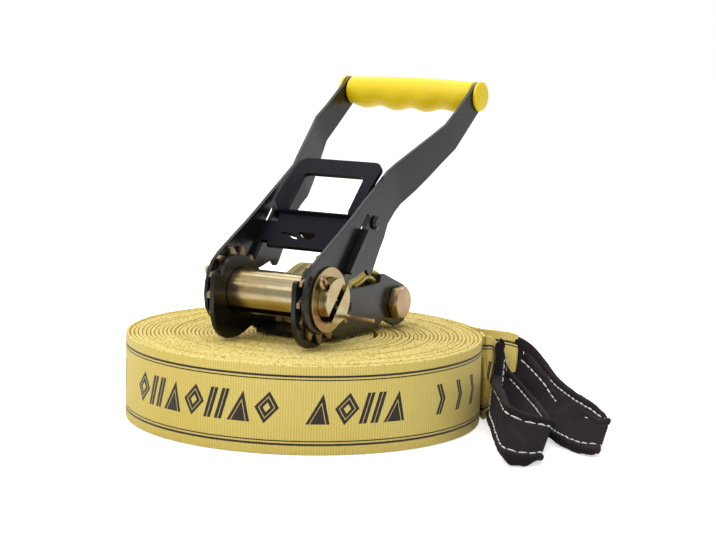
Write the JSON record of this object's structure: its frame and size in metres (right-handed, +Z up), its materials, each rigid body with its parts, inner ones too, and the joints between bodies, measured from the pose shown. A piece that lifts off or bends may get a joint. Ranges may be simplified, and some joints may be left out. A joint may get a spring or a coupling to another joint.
{
  "type": "slackline set",
  "caption": "Flat slackline webbing rolled up, with its long-handled ratchet on top and two sleeved anchor eyes beside it.",
  "frame": {"origin": "centre of the webbing roll, on the surface it lies on", "axes": "+X along the ratchet's axle from its left to its right plate, +Y from the axle to the rear bolt, +Z up"},
  "size_m": [0.297, 0.2344, 0.1986],
  "materials": {
    "yellow_webbing": "matt weave",
    "black_sleeve": "matt weave",
    "black_steel": "satin black",
    "gold_zinc": "yellow zinc plate",
    "yellow_grip": "satin"
  },
  "bodies": {
    "roll": {"line_webbing": "yellow_webbing", "line_tail": "yellow_webbing", "roll_core": "yellow_webbing", "ratchet_strap_tail": "yellow_webbing", "ratchet_strap": "yellow_webbing", "line_eye_sleeve": "black_sleeve", "strap_eye_sleeve": "black_sleeve", "frame_left_plate": "black_steel", "frame_right_plate": "black_steel", "frame_web": "black_steel", "rear_bolt": "gold_zinc", "rear_nut": "gold_zinc", "rear_spacer": "gold_zinc"},
    "handle": {"handle_left_plate": "black_steel", "handle_right_plate": "black_steel", "grip": "yellow_grip", "grip_rod": "black_steel", "left_grip_cap": "yellow_grip", "right_grip_cap": "yellow_grip", "cross_rod": "black_steel"},
    "reel": {"upper_half_moon": "gold_zinc", "lower_half_moon": "gold_zinc", "left_ratchet_gear": "gold_zinc", "right_ratchet_gear": "gold_zinc", "left_end_washer": "gold_zinc", "right_end_washer": "gold_zinc", "left_split_pin": "gold_zinc", "right_split_pin": "gold_zinc"},
    "drive_pawl": {"drive_pawl": "black_steel", "left_pawl_ear": "black_steel", "right_pawl_ear": "black_steel", "drive_pawl_spring": "gold_zinc"},
    "lock_pawl": {"lock_pawl": "black_steel"}
  },
  "joints": [
    {"name": "handle_swing", "type": "hinge", "parent": "roll", "child": "handle", "pos_m": [0.0038, -0.0393, 0.0778], "axis": [1, 0, 0], "range_deg": [-22, 140]},
    {"name": "reel_turn", "type": "hinge", "parent": "roll", "child": "reel", "pos_m": [0.0038, -0.0393, 0.0778], "axis": [1, 0, 0], "continuous": true},
    {"name": "drive_pawl_slide", "type": "slide", "parent": "handle", "child": "drive_pawl", "axis": [0, 0.6678, 0.7443], "range_m": [0, 0.007], "stiffness_N_per_m": 400, "springref_m": -0.006, "deforming": ["drive_pawl_spring"]},
    {"name": "lock_pawl_slide", "type": "slide", "parent": "roll", "child": "lock_pawl", "axis": [0, 1, 0], "range_m": [0, 0.003], "stiffness_N_per_m": 400, "springref_m": -0.006}
  ]
}
